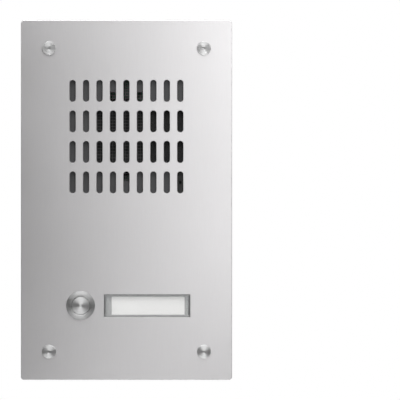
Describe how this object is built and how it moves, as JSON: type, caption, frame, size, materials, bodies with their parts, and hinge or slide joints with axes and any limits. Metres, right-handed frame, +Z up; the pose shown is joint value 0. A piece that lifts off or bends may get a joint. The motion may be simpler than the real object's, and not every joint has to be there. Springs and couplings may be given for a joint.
{
  "type": "door intercom panel",
  "caption": "Flush-mounted stainless door intercom panel with a loudspeaker slot field, one push button, a lit name window and a speech module in a steel wall box.",
  "frame": {"origin": "centre of the four wall-screw holes, on the rear outer face of the wall box", "axes": "+X to the right seen from the front, +Y into the wall, +Z up; the visible face looks along -Y"},
  "size_m": [0.135, 0.0523, 0.23],
  "materials": {
    "plate_steel": "fine brushed stainless, slightly satin",
    "turned_steel": "turned stainless with fine concentric lines",
    "zinc_steel": "zinc-plated steel",
    "galvanised_steel": "hot-dip galvanised sheet, mottled",
    "spring_steel": "drawn spring wire",
    "seal_foam": "closed-cell foam",
    "black_rubber": "matte moulded rubber",
    "dark_abs": "fine moulded texture",
    "cover_abs": "fine moulded texture",
    "black_mesh": "woven black mesh",
    "black_foam": "open-cell foam",
    "basket_paint": "black stoved paint",
    "surround_cloth": "treated cloth",
    "cone_paper": "pressed dark paper",
    "coil_copper": "enamelled copper winding",
    "spider_cloth": "resin-treated woven disc",
    "ferrite": "ground ferrite",
    "brass": "bright brass",
    "lead_red": "PVC insulation",
    "lead_blue": "PVC insulation",
    "lead_black": "PVC insulation",
    "lead_white": "PVC insulation",
    "can_aluminium": "drawn can",
    "board_green": "solder-resist over glass fibre",
    "terminal_grey": "moulded polyamide",
    "core_steel": "varnished laminations",
    "relay_blue": "moulded case",
    "capacitor_sleeve": "shrink sleeve",
    "chip_black": "moulded epoxy",
    "trimmer_blue": "moulded case",
    "trimmer_white": "moulded rotor",
    "socket_cream": "moulded nylon",
    "switch_black": "moulded insert",
    "clear_lens": "clear polished acrylic",
    "label_paper": "smooth white card",
    "holder_grey": "moulded mid-grey",
    "opal": "opal light-diffusing plastic",
    "lamp_white": "lamp package"
  },
  "bodies": {
    "station": {"front_panel": "plate_steel", "panel_screws": "turned_steel", "panel_seal": "seal_foam", "wall_box": "galvanised_steel", "box_pillars": "zinc_steel", "cable_grommet": "black_rubber", "weld_studs": "zinc_steel", "stud_washers": "zinc_steel", "stud_nuts": "zinc_steel", "module_baffle": "dark_abs", "sound_mesh": "black_mesh", "absorber_pad": "black_foam", "module_cover": "cover_abs", "module_screws": "zinc_steel", "speaker_gasket": "black_foam", "speaker_screws": "zinc_steel", "speaker_basket": "basket_paint", "speaker_surround": "surround_cloth", "speaker_spider": "spider_cloth", "speaker_top_plate": "zinc_steel", "speaker_magnet": "ferrite", "speaker_yoke": "zinc_steel", "speaker_tags": "brass", "speaker_leads": "lead_black", "mic_boot": "black_rubber", "microphone": "can_aluminium", "mic_leads": "lead_white", "circuit_board": "board_green", "terminal_block": "terminal_grey", "terminal_screws": "zinc_steel", "line_transformer": "core_steel", "door_relay": "relay_blue", "capacitors": "capacitor_sleeve", "chips": "chip_black", "trimmer_bodies": "trimmer_blue", "lead_sockets": "socket_cream", "button_bezel": "turned_steel", "button_seal": "black_rubber", "button_washer": "zinc_steel", "button_nut": "zinc_steel", "button_spring": "spring_steel", "button_switch": "switch_black", "button_pins": "brass", "button_leads": "lead_red", "name_holder": "holder_grey", "name_diffuser": "opal", "light_board": "board_green", "name_lamps": "lamp_white", "light_leads": "lead_blue"},
    "button_plunger": {"button_cap": "turned_steel", "button_oring": "black_rubber"},
    "cone": {"speaker_cone": "cone_paper", "dust_cap": "cone_paper", "voice_coil": "coil_copper"},
    "speaker_volume": {"speaker_volume_rotor": "trimmer_white"},
    "mic_volume": {"mic_volume_rotor": "trimmer_white"},
    "name_insert": {"name_lens": "clear_lens", "name_label": "label_paper"}
  },
  "joints": [
    {"name": "call_button_press", "type": "slide", "parent": "station", "child": "button_plunger", "axis": [0, 1, 0], "range_m": [0, 0.0015], "stiffness_N_per_m": 1200, "springref_m": -0.0001, "deforming": ["button_spring"]},
    {"name": "cone_travel", "type": "slide", "parent": "station", "child": "cone", "axis": [0, 1, 0], "range_m": [-0.0004, 0.0004], "stiffness_N_per_m": 1500, "deforming": ["speaker_surround", "speaker_spider"]},
    {"name": "speaker_volume_turn", "type": "hinge", "parent": "station", "child": "speaker_volume", "pos_m": [-0.028, -0.015, 0.012], "axis": [0, -1, 0], "range_deg": [-130, 130]},
    {"name": "mic_volume_turn", "type": "hinge", "parent": "station", "child": "mic_volume", "pos_m": [-0.014, -0.015, 0.012], "axis": [0, -1, 0], "range_deg": [-130, 130]},
    {"name": "name_insert_pull", "type": "slide", "parent": "station", "child": "name_insert", "axis": [0, -1, 0], "range_m": [0, 0.006]}
  ]
}
